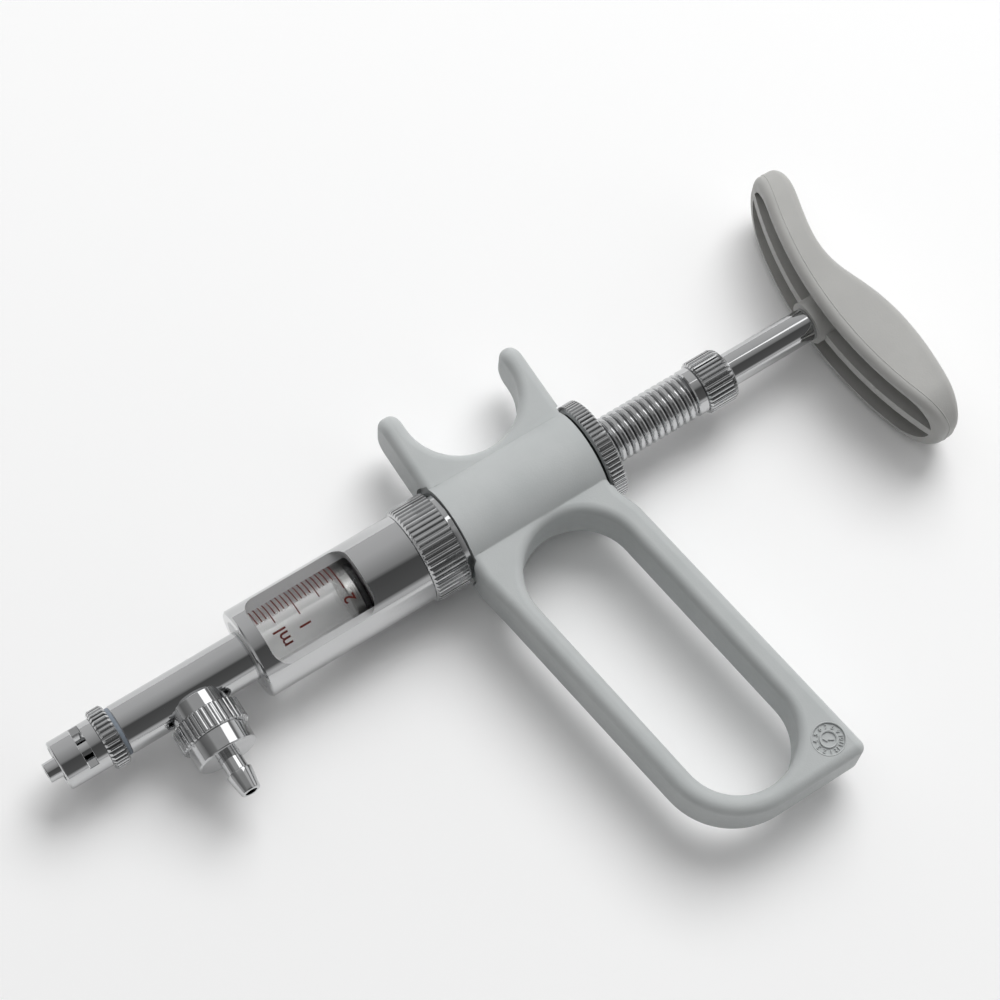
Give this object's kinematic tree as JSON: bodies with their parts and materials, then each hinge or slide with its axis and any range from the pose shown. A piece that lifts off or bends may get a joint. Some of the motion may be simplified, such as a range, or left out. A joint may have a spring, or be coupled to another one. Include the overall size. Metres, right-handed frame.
{
  "type": "self-refilling dosing syringe",
  "caption": "Hand-held self-refilling dosing syringe with a windowed glass barrel, Luer nozzle, side inlet, screw-set dose and a spring-return palm plunger.",
  "frame": {"origin": "centre of the Luer cone's end face, on the barrel axis", "axes": "+X along the barrel axis towards the palm rest, +Y towards the open finger cradle, +Z square to the flat of the handle, upward when the syringe lies on its side"},
  "size_m": [0.1896, 0.111, 0.0214],
  "materials": {
    "chrome": "polished chrome plate, mirror bright",
    "knurled_chrome": "chrome plate over a straight knurl",
    "machined_steel": "fine turned stainless steel",
    "body_plastic": "light grey moulded plastic, fine matte grain",
    "palm_plastic": "warm light grey moulded plastic, fine matte grain",
    "bore_glass": "clear ground borosilicate tube with fired-on red scale",
    "seal_blue": "blue-grey elastomer gasket",
    "seal_black": "black elastomer",
    "seal_white": "white PTFE",
    "spring_steel": "drawn spring wire",
    "brass": "turned brass"
  },
  "bodies": {
    "frame": {"nozzle_gasket": "seal_blue", "valve_tube": "chrome", "outlet_valve_seat": "seal_white", "outlet_valve_spring": "spring_steel", "inlet_boss": "chrome", "inlet_valve_seat": "seal_white", "inlet_valve_spring": "spring_steel", "inlet_barb": "chrome", "barrel_sleeve": "chrome", "front_seal": "seal_white", "glass_barrel": "bore_glass", "rear_seal": "seal_white", "rod_bush": "machined_steel", "retaining_ring": "spring_steel", "front_ferrule": "chrome", "rear_bush": "brass", "handle_body": "body_plastic", "lock_washer": "seal_black", "return_spring": "spring_steel"},
    "nozzle": {"luer_nozzle": "chrome", "luer_collar": "chrome", "nozzle_ring": "knurled_chrome"},
    "outlet_poppet": {"outlet_valve": "machined_steel"},
    "inlet_poppet": {"inlet_valve": "machined_steel"},
    "inlet_union": {"inlet_nut": "knurled_chrome"},
    "barrel_nut": {"coupling_nut": "knurled_chrome"},
    "dose_lock": {"lock_nut": "knurled_chrome"},
    "dose_stop": {"thrust_washer": "brass"},
    "dose_setter": {"dose_screw": "chrome", "dose_knob": "knurled_chrome"},
    "plunger": {"piston_rod": "chrome", "piston": "machined_steel", "piston_o_ring_front": "seal_black", "piston_o_ring_rear": "seal_black", "piston_nut": "machined_steel", "return_bumper": "seal_black", "palm_rest": "palm_plastic", "palm_insert": "brass"}
  },
  "joints": [
    {"name": "nozzle_unscrew", "type": "hinge", "parent": "frame", "child": "nozzle", "pos_m": [0, 0, 0], "axis": [1, 0, 0], "range_deg": [0, 120]},
    {"name": "outlet_valve_lift", "type": "slide", "parent": "frame", "child": "outlet_poppet", "axis": [-1, 0, 0], "range_m": [0, 0.0008], "stiffness_N_per_m": 60, "springref_m": -0.002, "deforming": ["outlet_valve_spring"]},
    {"name": "inlet_valve_lift", "type": "slide", "parent": "frame", "child": "inlet_poppet", "axis": [0, 1, 0], "range_m": [0, 0.0008], "stiffness_N_per_m": 60, "springref_m": -0.002, "deforming": ["inlet_valve_spring"]},
    {"name": "inlet_nut_turn", "type": "hinge", "parent": "frame", "child": "inlet_union", "pos_m": [0.0306, 0, 0], "axis": [0, 1, 0], "range_deg": [0, 120]},
    {"name": "barrel_nut_turn", "type": "hinge", "parent": "frame", "child": "barrel_nut", "pos_m": [0.085, 0, 0], "axis": [1, 0, 0], "range_deg": [0, 120]},
    {"name": "dose_lock_turn", "type": "hinge", "parent": "frame", "child": "dose_lock", "pos_m": [0.1225, 0, 0], "axis": [1, 0, 0], "range_deg": [0, 90]},
    {"name": "dose_travel", "type": "slide", "parent": "frame", "child": "dose_stop", "axis": [-1, 0, 0], "range_m": [0, 0.0195], "deforming": ["return_spring", "return_bumper"]},
    {"name": "dose_turn", "type": "hinge", "parent": "dose_stop", "child": "dose_setter", "pos_m": [0.13, 0, 0], "axis": [-1, 0, 0], "range_deg": [0, 4680]},
    {"name": "plunger_stroke", "type": "slide", "parent": "frame", "child": "plunger", "axis": [-1, 0, 0], "range_m": [0, 0.0195], "stiffness_N_per_m": 400, "springref_m": -0.015, "deforming": ["return_spring", "return_bumper"]}
  ],
  "couplings": [
    {"joint": "dose_turn", "follows": "dose_travel", "rad_per_m": 4188.8}
  ]
}
